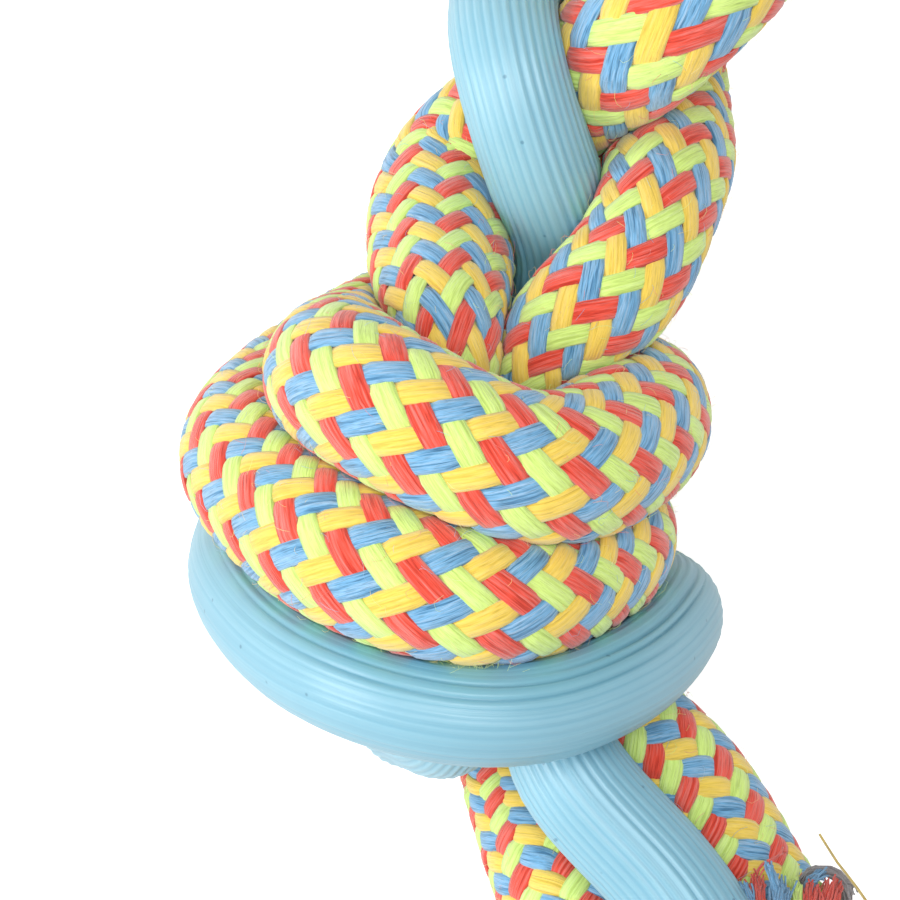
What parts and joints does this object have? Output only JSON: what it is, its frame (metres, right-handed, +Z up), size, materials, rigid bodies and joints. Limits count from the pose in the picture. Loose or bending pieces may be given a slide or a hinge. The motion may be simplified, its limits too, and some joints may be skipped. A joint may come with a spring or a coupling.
{
  "type": "rope dog toy",
  "caption": "Tug toy of braided ropes and a ribbed rubber tube, plaited together and tied in a large overhand knot at each end, with short tails that fray.",
  "frame": {"origin": "on the floor under the middle of the bounding box", "axes": "+X along the toy from the knot in the picture to the other knot; +Z up from the floor, which is the side that the picture is taken from; -Y the side that the tails point to"},
  "size_m": [0.3544, 0.0942, 0.0807],
  "materials": {
    "rope_braid_a": "braided yarn in yellow, lime green, blue and red, matte",
    "rope_braid_b": "braided yarn in yellow, lime green, blue and red, matte",
    "rope_core": "loose grey yarn, matte",
    "tube_rubber": "pale blue soft rubber with fine lengthwise ribs, satin"
  },
  "bodies": {
    "root": {"rope_cover_a": "rope_braid_a", "rope_core_a": "rope_core", "rope_cover_b": "rope_braid_b", "rope_core_b": "rope_core", "chew_tube": "tube_rubber", "tassel_a_1": "rope_braid_a", "tassel_a_2": "rope_braid_a", "tassel_b_1": "rope_braid_b", "tassel_b_2": "rope_braid_b"}
  },
  "joints": []
}
